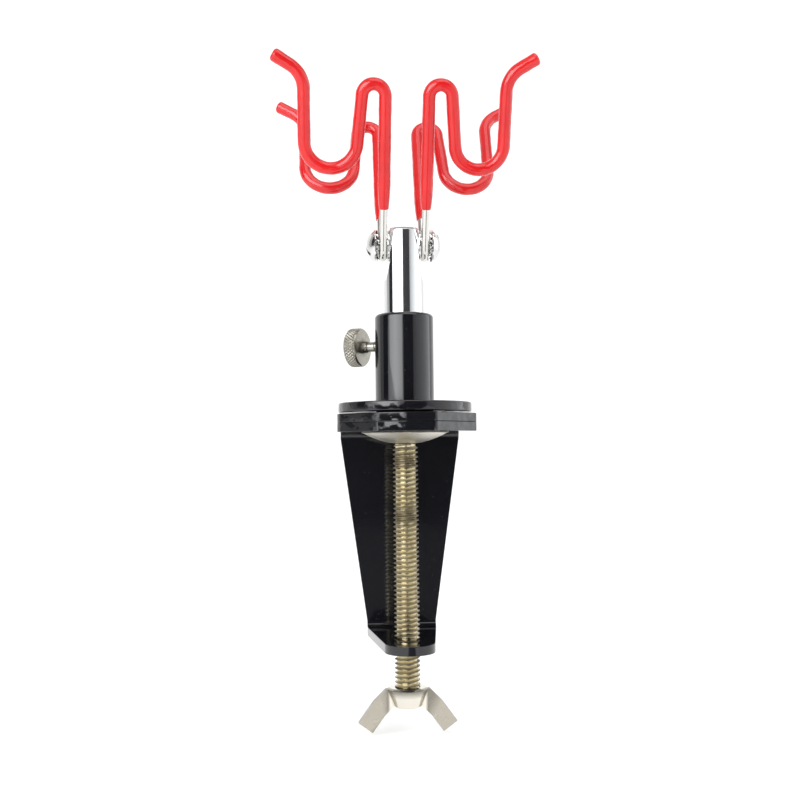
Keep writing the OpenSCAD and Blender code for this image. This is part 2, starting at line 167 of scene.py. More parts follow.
def rounded(corners, steps=6):
    """A profile's (r, z) points from its (r, z, fillet) corners, with arcs."""
    points = []
    for i, (r, z, fillet) in enumerate(corners):
        here = Vector((r, z))
        if fillet == 0 or i in (0, len(corners) - 1):
            points.append((r, z))
            continue
        back = (Vector(corners[i - 1][:2]) - here).normalized()
        on = (Vector(corners[i + 1][:2]) - here).normalized()
        half = back.angle(on) / 2
        reach = fillet / math.tan(half)
        centre = here + (back + on).normalized() * fillet / math.sin(half)
        start = here + back * reach - centre
        turn = (here + on * reach - centre).angle_signed(start)
        for k in range(steps + 1):
            a = turn * k / steps
            c, s = math.cos(a), math.sin(a)
            points.append((centre.x + start.x * c - start.y * s, centre.y + start.x * s + start.y * c))
    return points


def lathe(profile, segments=96, shape=None):
    """Vertices and faces of a profile turned about Z. Points at r = 0 close it,
    and shape(r, z, angle) may change a point's radius."""
    verts, rings, faces = [], [], []
    for r, z in profile:
        if r == 0:
            rings.append([len(verts)] * segments)
            verts.append((0, 0, z))
            continue
        rings.append(list(range(len(verts), len(verts) + segments)))
        for k in range(segments):
            a = 2 * math.pi * k / segments
            q = shape(r, z, a) if shape else r
            verts.append((q * math.cos(a), q * math.sin(a), z))
    closed = profile[0][0] > 0 and profile[-1][0] > 0
    for i in range(len(rings) if closed else len(rings) - 1):
        low, high = rings[i], rings[(i + 1) % len(rings)]
        for k in range(segments):
            n = (k + 1) % segments
            corners = [low[k], low[n], high[n], high[k]]
            face = list(dict.fromkeys(corners))
            if len(face) > 2:
                faces.append(face)
    return verts, faces


def sweep(points, radii, segments=28):
    """Vertices and faces of a closed tube along points, one radius a point."""
    verts, faces = [], []
    ahead = (points[1] - points[0]).normalized()
    side = ahead.orthogonal().normalized()
    for i, point in enumerate(points):
        near, far = points[max(i - 1, 0)], points[min(i + 1, len(points) - 1)]
        now = (far - near).normalized()
        side = (ahead.rotation_difference(now) @ side).normalized()
        side = (side - now * side.dot(now)).normalized()
        ahead = now
        other = ahead.cross(side)
        for k in range(segments):
            a = 2 * math.pi * k / segments
            verts.append(point + (side * math.cos(a) + other * math.sin(a)) * radii[i])
    for i in range(len(points) - 1):
        for k in range(segments):
            n = (k + 1) % segments
            low, high = i * segments, (i + 1) * segments
            faces.append([low + k, low + n, high + n, high + k])
    faces.append(list(range(segments))[::-1])
    faces.append(list(range((len(points) - 1) * segments, len(points) * segments)))
    return verts, faces


def screw_thread(radius, depth, pitch, low, high, segments=48, run_out=0.9):
    """Vertices and faces of a rod with a right-hand helical thread."""
    shape = [(0.0, 0.0), (0.06, 0.0), (0.46, 1.0), (0.54, 1.0), (0.94, 0.0)]
    verts, faces = [], []
    turns = math.ceil((high - low) / pitch) + 1
    steps = turns * segments
    width = len(shape)
    for s in range(steps + 1):
        a = 2 * math.pi * s / segments
        base = low - pitch + pitch * s / segments
        for share, deep in shape:
            z = min(max(base + share * pitch, low), high)
            ease = min(1.0, (z - low) / run_out, (high - z) / run_out)
            crest = radius - depth * 0.9 * (1 - max(ease, 0.0))
            r = min(crest, radius - depth * deep)
            verts.append((r * math.cos(a), r * math.sin(a), z))
    for s in range(steps):
        for k in range(width):
            if k < width - 1:
                one, two = s * width + k, s * width + k + 1
            else:
                one, two = s * width + k, (s + segments) * width
            if two // width + 1 > steps:
                continue
            faces.append([one, one + width, two + width, two])
    return verts, faces


def eased(node, width, sharp=30, segments=3, corners=()):
    """A copy of a CAD node whose edges are broken to a width in millimetres,
    and whose upright edges at (x, y, reach) corners are rounded first. Its
    big faces stay flat in the shading."""
    piece = bpy.data.objects.new(node + "_eased", frame["nodes"][node].data.copy())
    bpy.context.scene.collection.objects.link(piece)
    work = bmesh.new()
    work.from_mesh(piece.data)
    bmesh.ops.remove_doubles(work, verts=work.verts, dist=2e-6)
    bmesh.ops.dissolve_limit(
        work, angle_limit=math.radians(0.5), verts=work.verts, edges=work.edges)
    for x, y, reach in corners:
        upright = [
            e for e in work.edges
            if all(math.hypot(v.co.x / MM - x, v.co.y / MM - y) < 0.3 for v in e.verts)
        ]
        bmesh.ops.bevel(
            work, geom=upright, offset=reach * MM, segments=10, profile=0.5, affect="EDGES")
    work.to_mesh(piece.data)
    work.free()
    change = piece.modifiers.new("ease", "BEVEL")
    change.width = width * MM
    change.segments = segments
    change.limit_method = "ANGLE"
    change.angle_limit = math.radians(sharp)
    change.use_clamp_overlap = True
    applied(piece)
    tidy(piece, 24)
    even = piece.modifiers.new("even", "WEIGHTED_NORMAL")
    even.keep_sharp = True
    even.weight = 100
    return applied(piece)


def joined(name, *pieces):
    """Joins pieces into one new object and removes the pieces."""
    work = bmesh.new()
    for piece in pieces:
        work.from_mesh(piece.data)
    mesh = bpy.data.meshes.new(name)
    work.to_mesh(mesh)
    work.free()
    whole = bpy.data.objects.new(name, mesh)
    bpy.context.scene.collection.objects.link(whole)
    for piece in pieces:
        bpy.data.objects.remove(piece)
    return whole


def finish_piece(piece, node, body, material):
    """Dresses a piece, lets it stand for its CAD node and ride on its body."""
    piece.data.materials.clear()
    piece.data.materials.append(material)
    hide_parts(node)
    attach(piece, body)
    return piece


# ---------------------------------------------------------------- materials


class Graph:
    """A material's node tree, with short calls for the nodes used here."""

    def __init__(self, name):
        self.material = bpy.data.materials.new(name)
        self.material.use_nodes = True
        self.tree = self.material.node_tree
        self.shader = self.tree.nodes["Principled BSDF"]
        self.place = self.add("ShaderNodeTexCoord").outputs["Object"]

    def add(self, kind, **settings):
        node = self.tree.nodes.new(kind)
        for key, value in settings.items():
            setattr(node, key, value)
        return node

    def link(self, source, target):
        self.tree.links.new(source, target)

    def stretched(self, scale):
        """Object coordinates in millimetres, scaled on each axis."""
        node = self.add("ShaderNodeMapping")
        node.inputs["Scale"].default_value = [s / MM for s in scale]
        self.link(self.place, node.inputs["Vector"])
        return node.outputs["Vector"]

    def noise(self, size_mm, detail=4.0, rough=0.55, scale=(1, 1, 1)):
        node = self.add("ShaderNodeTexNoise")
        node.inputs["Scale"].default_value = 1.0
        node.inputs["Detail"].default_value = detail
        node.inputs["Roughness"].default_value = rough
        self.link(self.stretched([s / size_mm for s in scale]), node.inputs["Vector"])
        return node.outputs["Fac"]

    def spots(self, size_mm, reach):
        """1 in small round spots spread at a spacing, 0 elsewhere."""
        node = self.add("ShaderNodeTexVoronoi")
        node.inputs["Scale"].default_value = 1.0
        self.link(self.stretched([1 / size_mm] * 3), node.inputs["Vector"])
        return self.remap(node.outputs["Distance"], reach, reach * 0.5, 0, 1)

    def remap(self, source, low, high, out_low, out_high):
        node = self.add("ShaderNodeMapRange")
        node.inputs["From Min"].default_value = low
        node.inputs["From Max"].default_value = high
        node.inputs["To Min"].default_value = out_low
        node.inputs["To Max"].default_value = out_high
        self.link(source, node.inputs["Value"])
        return node.outputs["Result"]

    def math(self, operation, one, two):
        node = self.add("ShaderNodeMath", operation=operation)
        for socket, value in zip(node.inputs, (one, two)):
            if isinstance(value, (int, float)):
                socket.default_value = value
            else:
                self.link(value, socket)
        return node.outputs["Value"]

    def mix(self, factor, one, two):
        """A colour from one to two; each is a colour or another mix."""
        node = self.add("ShaderNodeMix", data_type="RGBA")
        self.link(factor, node.inputs["Factor"])
        for name, value in (("A", one), ("B", two)):
            socket = next(s for s in node.inputs if s.name == name and s.type == "RGBA")
            if isinstance(value, tuple):
                socket.default_value = (*value, 1)
            else:
                self.link(value, socket)
        return next(s for s in node.outputs if s.type == "RGBA")

    def edges(self, low, high):
        """1 on worn, convex edges and 0 elsewhere; with low above high it is 1 in hollows instead, the mask
        of the painted shade there.
        """
        point = self.add("ShaderNodeNewGeometry").outputs["Pointiness"]
        return self.remap(point, low, high, 0, 1)

    def height(self):
        """Height above the row's origin, in millimetres."""
        parts = self.add("ShaderNodeSeparateXYZ")
        self.link(self.place, parts.inputs["Vector"])
        return self.math("MULTIPLY", parts.outputs["Z"], 1 / MM)

    def radius(self):
        """Distance from the row's Z axis, in millimetres."""
        parts = self.add("ShaderNodeSeparateXYZ")
        self.link(self.place, parts.inputs["Vector"])
        squares = [self.math("MULTIPLY", parts.outputs[k], parts.outputs[k]) for k in "XY"]
        return self.math("MULTIPLY", self.math("SQRT", self.math("ADD", *squares), 0.0), 1 / MM)

    def bump(self, *layers):
        """Adds bumps of (source, depth in millimetres)."""
        last = None
        for source, depth in layers:
            node = self.add("ShaderNodeBump")
            node.inputs["Strength"].default_value = 1.0
            node.inputs["Distance"].default_value = depth * MM
            self.link(source, node.inputs["Height"])
            if last:
                self.link(last, node.inputs["Normal"])
            last = node.outputs["Normal"]
        self.link(last, self.shader.inputs["Normal"])

    def set(self, **values):
        """Sets or links sockets of the shader, named with underscores."""
        for key, value in values.items():
            socket = self.shader.inputs[key.replace("_", " ")]
            if isinstance(value, bpy.types.NodeSocket):
                self.link(value, socket)
            elif isinstance(value, tuple):
                socket.default_value = (*value, 1)
            else:
                socket.default_value = value


def black_paint():
    """Gloss black enamel: orange peel, dust in the paint, runs on the rims."""
    g = Graph("gloss_black_paint")
    peel = g.noise(1.6, 2.0)
    flow = g.noise(9.0, 1.0)
    haze = g.noise(14.0, 5.0)
    z = g.height()
    on_rims = g.math("MULTIPLY", g.remap(z, -0.6, -0.2, 0, 1), g.remap(z, 9.2, 9.6, 1, 0))
    runs = g.math("MULTIPLY", g.noise(4.5, 1.5), on_rims)
    dust = g.spots(2.6, 0.09)
    paint = g.mix(haze, (0.0045, 0.0047, 0.0062), (0.0075, 0.0078, 0.0105))
    dusty = g.mix(g.math("MULTIPLY", dust, 0.1), paint, (0.2, 0.2, 0.21))
    g.set(
        Base_Color=dusty,
        Roughness=g.remap(haze, 0.3, 0.75, 0.06, 0.1),
        Specular_IOR_Level=0.5,
        Coat_Weight=0.3,
        Coat_Roughness=0.05,
    )
    g.bump((runs, 0.35), (flow, 0.015), (peel, 0.006), (dust, 0.01))
    return g.material


def polished_chrome(name, tint=(0.82, 0.825, 0.83), rough=(0.03, 0.09)):
    """Chrome plate: near-mirror with faint handling marks and hair scratches."""
    g = Graph(name)
    smudge = g.noise(5.0, 5.0)
    hair = g.noise(0.35, 3.0, 0.6, (1.0, 1.0, 0.05))
    wave = g.noise(9.0, 1.0)
    g.set(
        Base_Color=g.mix(smudge, tint, tuple(c * 0.93 for c in tint)),
        Metallic=1.0,
        Roughness=g.remap(smudge, 0.35, 0.7, *rough),
    )
    g.bump((wave, 0.004), (hair, 0.0006))
    return g.material


def nickel_plate(
    name, tint, rough, grain_mm=0.5, stain_and_shade=(0.4, 0.36, 0.28), stain_and_shade_share=0.5, depth=0.01, hub_r=0.0
):
    """Nickel plate over turned or cast metal, warm, with random stains, and with painted shade darkening its
    hollows.
    Inside a radius from the row's Z axis it is polished."""
    g = Graph(name)
    rim = g.edges(0.57, 0.66)
    cloud = g.noise(4.0, 6.0)
    grain = g.noise(grain_mm, 4.0)
    # Painted shade: hollows, found by low pointiness, are darkened towards the stain colour in place of the
    # shade that falls in them; the cloud adds real random stains to the same mask.
    hollow_shade = g.edges(0.49, 0.44)
    stain_and_hollow_shade = g.math("MULTIPLY", g.math("MAXIMUM", hollow_shade, g.remap(cloud, 0.58, 0.75, 0, 1)), stain_and_shade_share)
    g.set(
        Base_Color=g.mix(rim, g.mix(stain_and_hollow_shade, tint, stain_and_shade), tuple(min(1, c * 1.7) for c in tint)),
        Metallic=1.0,
        Roughness=g.math("ADD", g.remap(cloud, 0.3, 0.7, *rough), g.math("MULTIPLY", stain_and_hollow_shade, 0.15)),
    )
    if hub_r:
        polished = g.remap(g.radius(), hub_r, hub_r + 0.7, 1, 0)
        plain, satin = (g.shader.inputs[k].links[0].from_socket for k in ("Base Color", "Roughness"))
        g.set(
            Base_Color=g.mix(polished, plain, (0.8, 0.76, 0.68)),
            Roughness=g.math("MULTIPLY", satin, g.remap(polished, 0, 1, 1.0, 0.4)),
        )
    g.bump((cloud, depth * 2), (grain, depth))
    return g.material


def thread_nickel():
    """Yellowish nickel on a rolled thread: painted shade darkens its roots, and two darker bands lie at set
    heights.
    """
    g = Graph("yellow_nickel_thread")
    cloud = g.noise(2.2, 6.0)
    grain = g.noise(0.4, 4.0)
    # Painted shade: the thread's roots, found by low pointiness, are darkened in the colour in place of the
    # shade between the flanks.
    root = g.edges(0.5, 0.455)
    z = g.math("ADD", g.height(), g.remap(g.noise(3.0, 4.0), 0.2, 0.8, -2.5, 2.5))
    bands = 0.0
    for centre, half in ((-9.0, 2.2), (-26.5, 4.6)):
        away = g.math("ABSOLUTE", g.math("SUBTRACT", z, centre), 0.0)
        bands = g.math("MAXIMUM", bands, g.remap(away, half, half * 0.4, 0, 1))
    patchy = g.math("MULTIPLY", bands, g.remap(cloud, 0.3, 0.55, 0.25, 1))
    # The painted root shade and the two darker bands both pull the colour towards the dark brown below.
    root_shade_and_dark_bands = g.math("MAXIMUM", g.math("MULTIPLY", root, 0.9), g.math("MULTIPLY", patchy, 0.7))
    plated = g.mix(g.remap(cloud, 0.35, 0.7, 0, 1), (0.68, 0.62, 0.45), (0.46, 0.4, 0.27))
    g.set(
        Base_Color=g.mix(root_shade_and_dark_bands, plated, (0.11, 0.09, 0.06)),
        Metallic=1.0,
        Roughness=g.remap(root_shade_and_dark_bands, 0, 1, 0.2, 0.5),
    )
    g.bump((cloud, 0.02), (grain, 0.012))
    return g.material


def red_coating():
    """Glossy red PVC dip: slow ripples, fine pinholes, darker where thick."""
    g = Graph("red_dipped_pvc")
    ripple = g.noise(3.4, 2.0)
    fine = g.noise(0.5, 3.0)
    pin = g.spots(3.5, 0.06)
    tone = g.noise(12.0, 3.0)
    red = g.mix(g.remap(tone, 0.3, 0.7, 0, 1), (0.7, 0.013, 0.014), (0.6, 0.008, 0.01))
    g.set(
        Base_Color=g.mix(g.math("MULTIPLY", pin, 0.3), red, (0.3, 0.0, 0.0)),
        Roughness=g.remap(ripple, 0.3, 0.7, 0.12, 0.22),
        Subsurface_Weight=0.1,
        Subsurface_Scale=0.0012,
        Specular_IOR_Level=0.45,
        Coat_Weight=0.3,
        Coat_Roughness=0.06,
    )
    g.shader.inputs["Subsurface Radius"].default_value = (1.0, 0.15, 0.1)
    g.bump((ripple, 0.06), (fine, 0.004), (pin, -0.02))
    return g.material


def plain_metal(name, colour, rough):
    """Bare spring steel with a drawn grain."""
    g = Graph(name)
    cloud = g.noise(1.5, 5.0)
    g.set(
        Base_Color=g.mix(cloud, colour, tuple(c * 0.6 for c in colour)),
        Metallic=1.0,
        Roughness=g.remap(cloud, 0.3, 0.7, *rough),
    )
    g.bump((cloud, 0.01))
    return g.material


def fibre():
    """Dark pressed fibre."""
    g = Graph("dark_fibre")
    strands = g.noise(0.25, 5.0, 0.7)
    g.set(
        Base_Color=g.mix(strands, (0.02, 0.018, 0.015), (0.06, 0.055, 0.048)),
        Roughness=g.remap(strands, 0.3, 0.7, 0.6, 0.85),
    )
    g.bump((strands, 0.03))
    return g.material


PAINT = black_paint()
CHROME = polished_chrome("polished_chrome_post")
SCREW_CHROME = polished_chrome("small_screw_chrome", (0.78, 0.78, 0.77), (0.06, 0.16))
WIRE_CHROME = polished_chrome("wire_chrome", (0.72, 0.71, 0.68), (0.1, 0.22))
NICKEL = nickel_plate("bright_nickel", (0.7, 0.67, 0.58), (0.14, 0.26), depth=0.006)
# In SATIN, THUMB and DISH the colour after the grain size is the stain and painted-shade colour, and the
# number after it sets how strongly stains and painted shade in hollows darken the plate.
SATIN = nickel_plate(
    "satin_nickel", (0.29, 0.27, 0.23), (0.22, 0.34), 0.35, (0.17, 0.145, 0.11), 0.6, 0.01, hub_r=5.6)
THUMB = nickel_plate("knurled_nickel", (0.4, 0.385, 0.335), (0.24, 0.36), 0.5, (0.09, 0.08, 0.06), 0.9, 0.006)
DISH = nickel_plate("pressed_nickel", (0.68, 0.655, 0.58), (0.36, 0.46), 0.5, (0.5, 0.46, 0.38), 0.4, 0.006)
THREAD = thread_nickel()
RED = red_coating()
SPRING = plain_metal("spring_steel", (0.4, 0.4, 0.41), (0.25, 0.45))
FIBRE = fibre()


# ---------------------------------------------------------------- clamp frame


def clamp_frame():
    nose_x, nose_y, wide_x, wide_y = 7.5, -22.5, 21.6, -8.0
    corners = (
        (-nose_x, nose_y, 7.5),
        (nose_x, nose_y, 0.7),
        (-wide_x, wide_y, 2.0),
        (wide_x, wide_y, 0.6),
    )
    for node in ("clamp_bracket", "base_plate"):
        finish_piece(eased(node, 0.4, corners=corners), node, "clamp_frame", PAINT)
    for node, material in (
        ("swivel_bolt", NICKEL),
        ("swivel_nut", NICKEL),
        ("spring_washer", SPRING),
        ("thrust_washer", FIBRE),
    ):
        data = frame["nodes"][node].data
        data.materials.clear()
        data.materials.append(material)


# ---------------------------------------------------------------- turret


def swivel_disc():
    low, high = span("swivel_disc")
    bore, edge = 2.55, 0.45
    r = high.x
    profile = rounded([
        (bore, low.z, 0),
        (r, low.z, edge),
        (r, high.z, edge),
        (bore, high.z, 0),
    ])
    piece = mesh_piece("swivel_disc_turned", *lathe(profile, 192))
    finish_piece(piece, "swivel_disc", "turret", PAINT)


def thumb_place():
    """The thumb screw's axis, +Z outwards from the post's axis."""
    axis = Vector(joint("thumb_screw_turn")["axis"])
    at = Vector(joint("thumb_screw_turn")["pos_m"]) / MM
    turn = Vector((0, 0, 1)).rotation_difference(axis).to_matrix().to_4x4()
    return Matrix.Translation(at) @ turn


def collar():
    low, high = span("collar")
    r, bore, top, inner, foot = high.x, 6.4, 1.3, 0.5, 0.35
    profile = rounded([
        (bore, low.z, 0),
        (r - foot, low.z, 0),
        (r, low.z + foot, 0),
        (r, high.z, top),
        (bore + inner, high.z, 0.3),
        (bore, high.z - inner, 0),
    ])
    piece = mesh_piece("collar_turned", *lathe(profile, 160))
    hole_r, mouth_r, chamfer, start = 2.05, 2.8, 0.3, 3
    bit = [(0, start), (hole_r, start), (hole_r, r - chamfer), (mouth_r, r + 0.4), (0, r + 0.4)]
    hole = mesh_piece("hole", *lathe(bit, 48), thumb_place())
    cut(piece, hole)
    tidy(piece, 30)
    finish_piece(piece, "collar", "turret", PAINT)


# ---------------------------------------------------------------- thumb screw


def thumb_screw():
    tip, thread_end, head_in, head_t = 6.65, 9.85, 14.5, 4.2
    thread_r, neck_r, shoulder_r, head_r = 1.98, 1.6, 1.9, 6.25
    knurl_depth, knurl_edge, teeth = 0.34, 0.5, 38

    def knurl(r, z, a):
        if r < head_r - 0.01:
            return r
        wide = head_t - 2 * knurl_edge
        along = (z - head_in - knurl_edge) / wide
        twist = 2 * math.pi * along * 0.9
        one = abs(((teeth * a + twist * 2.6) / math.pi) % 2 - 1)
        two = abs(((teeth * a - twist * 2.6) / math.pi) % 2 - 1)
        return r - knurl_depth * max(one, two) ** 2

    rows, shoulder_l, ease = 18, 2.0, 0.15
    neck_end, outer, lap_end = thread_end + 0.2, head_in + head_t, thread_end + 0.3
    band_l = head_t - 2 * knurl_edge
    head = [
        (0, neck_end),
        (neck_r, neck_end),
        (neck_r, head_in - shoulder_l),
        (shoulder_r - ease, head_in - shoulder_l),
        (shoulder_r, head_in - shoulder_l + ease),
        (shoulder_r, head_in - 0.25),
        (shoulder_r + 0.25, head_in),
        (head_r - knurl_edge, head_in),
        (head_r - ease, head_in + knurl_edge * 0.7),
    ]
    head += [(head_r, head_in + knurl_edge + band_l * k / rows) for k in range(rows + 1)]
    head += [
        (head_r - ease, outer - knurl_edge * 0.7),
        (head_r - knurl_edge, outer),
        (head_r * 0.62, outer),
        (head_r * 0.58, outer - 0.25),
        (0, outer - 0.3),
    ]
    turned = mesh_piece("head", *lathe(head, teeth * 8, knurl), thumb_place(), 28)
    helix = screw_thread(thread_r, THUMB_DEPTH, THUMB_PITCH, tip, lap_end, 24, 0.35)
    rod = mesh_piece("rod", *helix, thumb_place(), 50)
    root = thread_r - THUMB_DEPTH + 0.05
    core_line = [(0, tip), (root, tip), (root, lap_end), (0, lap_end)]
    core = mesh_piece("core", *lathe(core_line, 24), thumb_place())
    piece = joined("thumb_screw_knurled", turned, rod, core)
    finish_piece(piece, "thumb_screw", "thumb", THUMB)


# ---------------------------------------------------------------- mast


def post():
    low, high = span("post")
    r, edge = 6.35, 0.8
    flats_w, runout_w, flats_l, drop = 9.0, 11.2, 16.2, 5.1
    profile = rounded([
        (0, low.z, 0),
        (r - edge, low.z, 0.2),
        (r, low.z + edge, 0.2),
        (r, high.z - edge, 0.25),
        (r - edge, high.z, 0.25),
        (0, high.z, 0),
    ])
    piece = mesh_piece("post_turned", *lathe(profile, 256))
    base = high.z - flats_l
    shoulder = base + flats_l - drop - 5.0 - 0.3
    cutters = []
    for side in (LEFT, RIGHT):
        outline = [
            (runout_w / 2, base),
            (r + 3, base),
            (r + 3, high.z + 1),
            (flats_w / 2, high.z + 1),
            (flats_w / 2, shoulder),
        ]
        near = [(side * x, -r - 1, z) for x, z in outline]
        far = [(side * x, r + 1, z) for x, z in outline]
        n = len(outline)
        faces = [list(range(n)), list(range(n, 2 * n))[::-1]]
        faces += [[k, (k + 1) % n, n + (k + 1) % n, n + k] for k in range(n)]
        cutters.append(mesh_piece("flat", near + far, faces))
    pivot = Vector(joint("left_hanger_tilt")["pos_m"]).z / MM
    turn = Matrix.Translation((0, 0, pivot)) @ Matrix.Rotation(math.pi / 2, 4, "Y")
    cutters.append(mesh_piece("hole", *lathe([(0, -8), (2.52, -8), (2.52, 8), (0, 8)], 48), turn))
    cut(piece, *cutters)
    tidy(piece, 14)
    finish_piece(piece, "post", "mast", CHROME)


def on_pivot(side, x):
    """The pivot axis, +Z outwards, from x millimetres off the post's axis."""
    pivot = Vector(joint("left_hanger_tilt")["pos_m"]).z / MM
    return Matrix.Translation((side * x, 0, pivot)) @ Matrix.Rotation(side * math.pi / 2, 4, "Y")


def flat_washer(side):
    name = SIDE_NAMES[side] + "_flat_washer"
    low, high = span(name)
    thick, inner = high.x - low.x, min(abs(low.x), abs(high.x))
    r, bore, edge = high.y, 2.65, 0.2
    profile = rounded([(bore, 0, 0), (r, 0, edge), (r, thick, edge), (bore, thick, 0)], 3)
    piece = mesh_piece(name + "_pressed", *lathe(profile, 96), on_pivot(side, inner))
    finish_piece(piece, name, "mast", SCREW_CHROME)


def lock_washer(side):
    """A ring with outward teeth, each twisted out of the ring's plane."""
    name = SIDE_NAMES[side] + "_lock_washer"
    low, high = span(name)
    thick, inner = high.x - low.x, min(abs(low.x), abs(high.x))
    ring_r, tip_r, bore, plate = 4.0, 4.95, 2.65, 0.55
    teeth, twist = 12, math.radians(24)
    middle = thick / 2
    under, over = middle - plate / 2, middle + plate / 2
    profile = rounded([(bore, under, 0), (ring_r, under, 0.1), (ring_r, over, 0.1), (bore, over, 0)], 2)
    parts = [mesh_piece("ring", *lathe(profile, 96), on_pivot(side, inner))]
    sections = ((ring_r - 0.3, 0.85, 0.0), (ring_r + 0.25, 0.8, twist * 0.6), (tip_r, 0.6, twist))
    for k in range(teeth):
        a = 2 * math.pi * k / teeth
        c, s = math.cos(a), math.sin(a)
        verts = []
        for r, half, turn in sections:
            for w, t in ((-half, -plate / 2), (half, -plate / 2), (half, plate / 2), (-half, plate / 2)):
                across = w * math.cos(turn) - t * math.sin(turn)
                out = w * math.sin(turn) + t * math.cos(turn)
                verts.append((r * c - across * s, r * s + across * c, middle + out))
        faces = [[0, 1, 2, 3], [8, 9, 10, 11]]
        for base in (0, 4):
            faces += [[base + i, base + (i + 1) % 4, base + 4 + (i + 1) % 4, base + 4 + i] for i in range(4)]
        parts.append(mesh_piece("tooth", verts, faces, on_pivot(side, inner), 20))
    piece = joined(name + "_toothed", *parts)
    finish_piece(piece, name, "mast", SCREW_CHROME)


def pivot_screw(side):
    """A domed, slotted head on a plain shank."""
    name = SIDE_NAMES[side] + "_pivot_screw"
    low, high = span(name)
    outer = max(abs(low.x), abs(high.x))
    head_h, r, shank_r = 3.0, high.y, 2.48
    seat = outer - head_h
    rim = 0.35
    dome = [(0, seat), (r - 0.15, seat), (r, seat + 0.15), (r, seat + rim)]
    top = head_h - rim
    ball = (r * r + top * top) / (2 * top)
    steps = 14
    reach = math.asin(r / ball)
    for k in range(1, steps + 1):
        a = reach * (1 - k / steps)
        dome.append((ball * math.sin(a), seat + rim + ball * math.cos(a) - (ball - top)))
    dome[-1] = (0, outer)
    place = on_pivot(side, 0)
    head = mesh_piece("head", *lathe(dome, 96), place)
    slot_w, slot_depth = 1.1, 1.35
    turn = math.radians(35)
    reach, half = 8, slot_w / 2
    outline = ((-reach, -half), (reach, -half), (reach, half), (-reach, half))
    corners = [(x, y, z) for z in (outer - slot_depth, outer + 1) for x, y in outline]
    faces = [[0, 1, 2, 3], [4, 5, 6, 7]] + [[i, (i + 1) % 4, 4 + (i + 1) % 4, 4 + i] for i in range(4)]
    slot = mesh_piece("slot", corners, faces, place @ Matrix.Rotation(turn, 4, "Z"))
    cut(head, slot)
    tidy(head, 28)
    tip, ease = 1, 0.3
    rod = [(0, tip), (shank_r - ease, tip), (shank_r, tip + ease), (shank_r, seat), (0, seat)]
    shank = mesh_piece("shank", *lathe(rod, 48), place)
    piece = joined(name + "_domed", head, shank)
    finish_piece(piece, name, "mast", SCREW_CHROME)


# ---------------------------------------------------------------- hangers


def arm_line(side, step=0.5):
    """An arm's centre line from the eye to the lip's tip, as (out, up) points
    in its own plane: out from the first leg, up along it."""
    r = CRADLE_R[side]
    wire_x = abs(Vector(joint(SIDE_NAMES[side] + "_hanger_tilt")["pos_m"]).x) / MM
    over = CRADLE_X + r - wire_x - HAIRPIN_R
    top = HAIRPIN_TOP - HAIRPIN_R
    drop = top - CRADLE_BOTTOM - r
    reach = math.hypot(over, drop)
    lean = math.atan2(over, drop) - math.asin((HAIRPIN_R + r) / reach)
    slant = math.sqrt(reach ** 2 - (HAIRPIN_R + r) ** 2)
    path = [
        (top, HAIRPIN_R, math.pi - lean),
        (slant, r, lean - math.pi),
        (LIP_START - CRADLE_BOTTOM - r, LIP_R, math.pi / 2 - LIP_RISE),
        (LIP_L, 0, 0),
    ]
    points, here, heading = [Vector((0, 0))], Vector((0, 0)), 0.0
    for length, radius, angle in path:
        count = max(2, round(length / step))
        ahead = Vector((math.sin(heading), math.cos(heading)))
        points += [here + ahead * length * k / count for k in range(1, count + 1)]
        here = points[-1]
        if not radius:
            continue
        bend = math.copysign(1, angle)
        centre = here + Vector((math.cos(heading), -math.sin(heading))) * radius * bend
        count = max(6, round(abs(angle) * radius / step))
        for k in range(1, count + 1):
            turned = heading + angle * k / count
            points.append(centre - Vector((math.cos(turned), -math.sin(turned))) * radius * bend)
        here, heading = points[-1], heading + angle
    return points


def in_arm(side, end, point):
    """An arm's own (out, up) point in the row frame, in millimetres."""
    pivot = Vector(joint(SIDE_NAMES[side] + "_hanger_tilt")["pos_m"]) / MM
    c, s = math.cos(ARM_TILT), math.sin(ARM_TILT)
    y = end * (EYE_R * c + point.y * s)
    z = pivot.z - EYE_R * s + point.y * c
    return Vector((pivot.x + side * point.x, y, z))


def lengths(points):
    """Distance along a line to each of its points."""
    total, found = 0.0, [0.0]
    for one, two in zip(points, points[1:]):
        total += (two - one).length
        found.append(total)
    return found


def hanger_wire(side):
    """One wire from lip to lip, bent round under the pivot screw."""
    name = SIDE_NAMES[side] + "_hanger_wire"
    pivot = Vector(joint(SIDE_NAMES[side] + "_hanger_tilt")["pos_m"]) / MM
    line = arm_line(side)
    hidden = 1.3
    total = lengths(line)[-1]
    kept = [p for p, s in zip(line, lengths(line)) if s < total - hidden]
    front = [in_arm(side, FRONT, p) for p in kept]
    rear = [in_arm(side, REAR, p) for p in kept]
    eye, steps = [], 36
    for k in range(1, steps):
        a = math.pi + ARM_TILT + (math.pi - 2 * ARM_TILT) * k / steps
        eye.append(Vector((pivot.x, EYE_R * math.cos(a), pivot.z + EYE_R * math.sin(a))))
    points = front[::-1] + eye + rear
    piece = mesh_piece(name + "_bent", *sweep(points, [WIRE_R] * len(points), 32))
    finish_piece(piece, name, SIDE_NAMES[side] + "_hanger", WIRE_CHROME)


